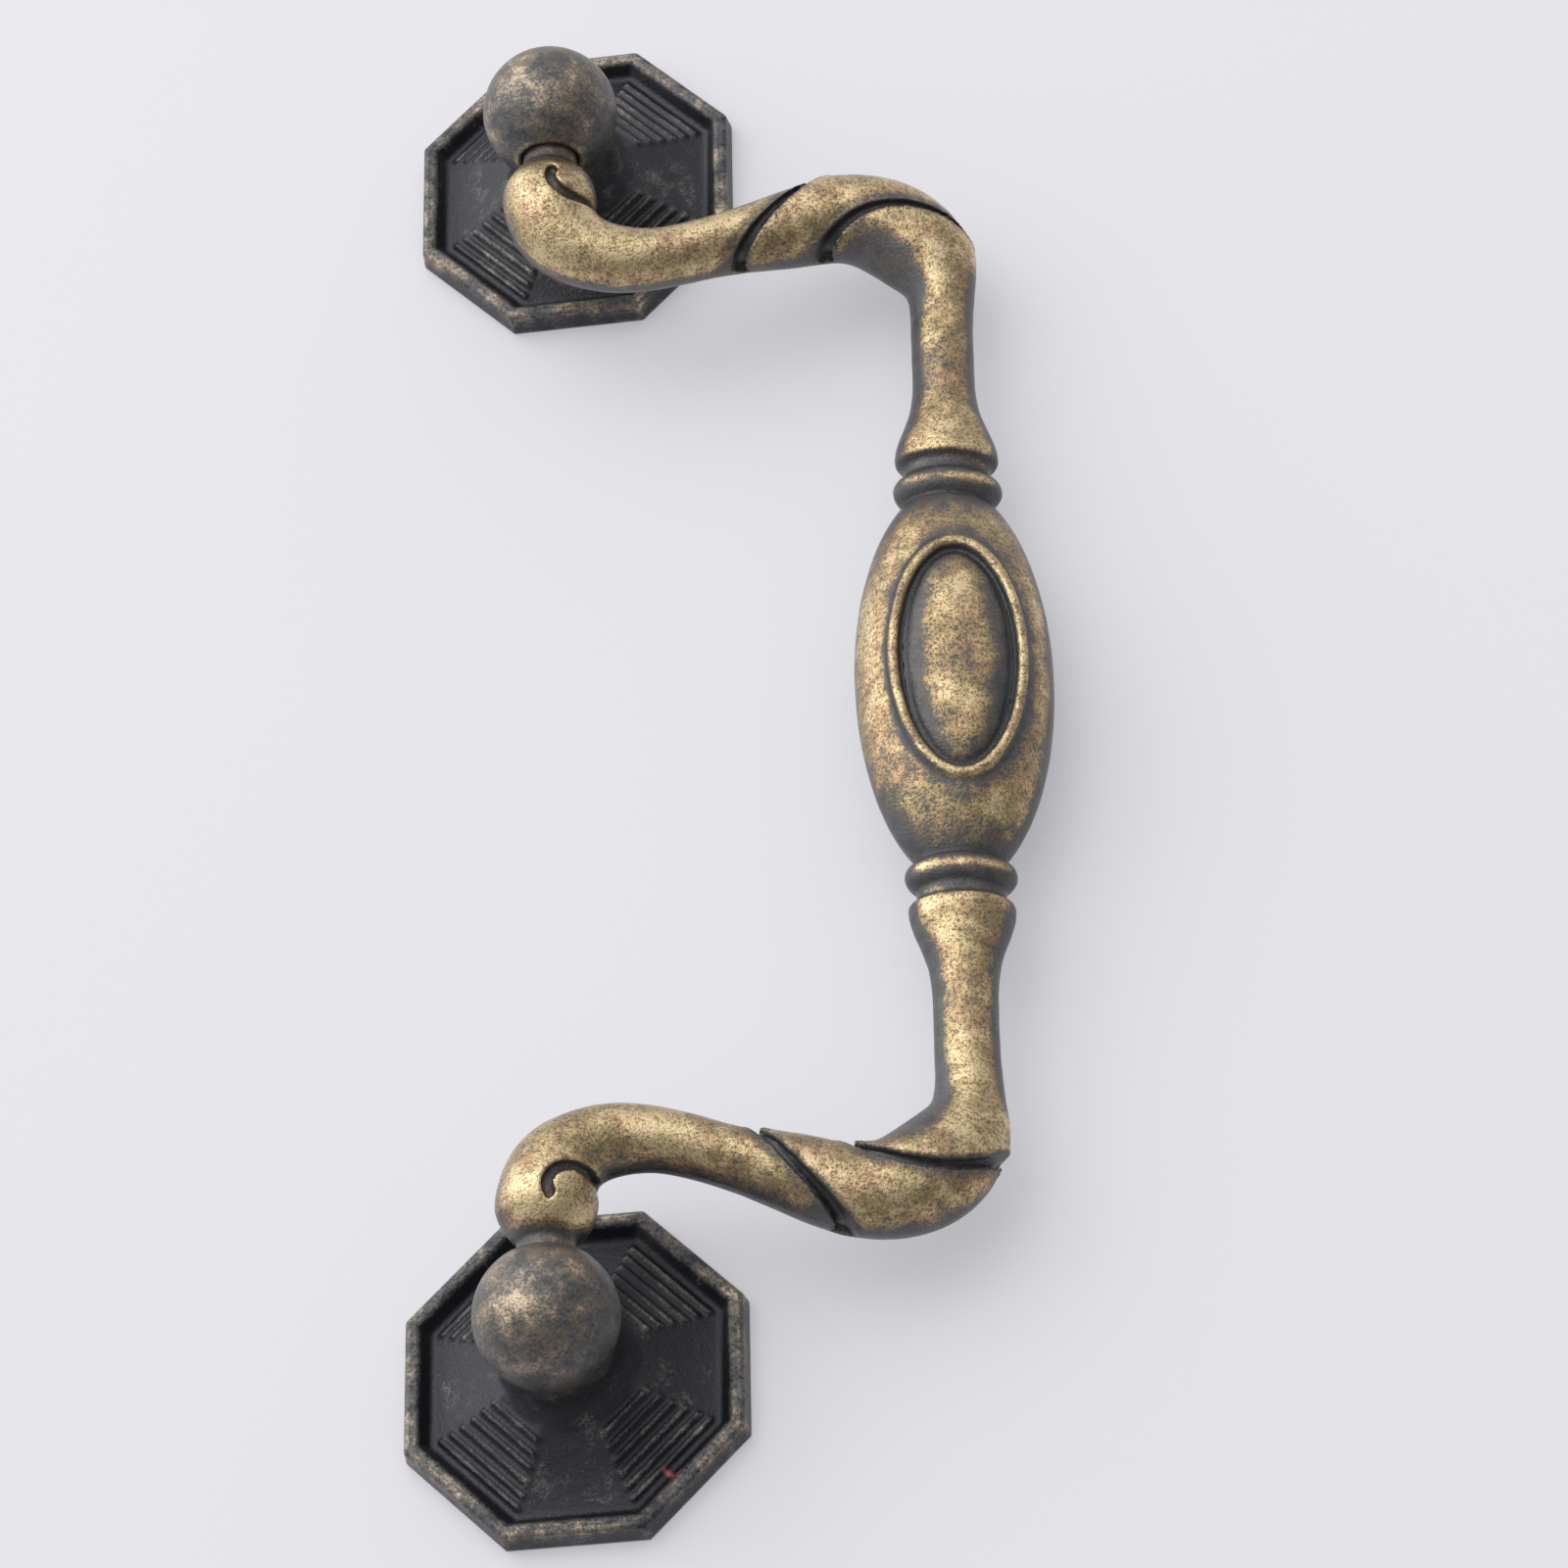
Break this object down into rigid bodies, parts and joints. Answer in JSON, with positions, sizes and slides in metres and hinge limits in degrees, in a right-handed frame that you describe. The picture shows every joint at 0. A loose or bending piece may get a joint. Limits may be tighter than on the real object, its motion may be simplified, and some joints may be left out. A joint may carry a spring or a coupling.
{
  "type": "drawer pull",
  "caption": "Drawer pull: octagonal rosettes with ridged pyramids and ball ends carry a swinging bail with scrolled, folded-leaf arms and a swollen grip with an oval medallion.",
  "frame": {"origin": "midway between the screw holes, on the plane of the drawer front that the rosettes' backs lie on", "axes": "+Y along the line through the screw holes, +Z out of the drawer front, +X to the side that the bail hangs on"},
  "size_m": [0.0611, 0.159, 0.0209],
  "materials": {
    "dark_patina": "black-brown patina, rubbed to brass on the rim and the ball",
    "antique_brass": "aged brass with dark speckle, dark in the grooves"
  },
  "bodies": {
    "rosettes": {"upper_rosette": "dark_patina", "lower_rosette": "dark_patina"},
    "bail": {"bail": "antique_brass"}
  },
  "joints": [
    {"name": "bail_swing", "type": "hinge", "parent": "rosettes", "child": "bail", "pos_m": [0, 0, 0.0144], "axis": [0, -1, 0], "range_deg": [0, 204]}
  ]
}
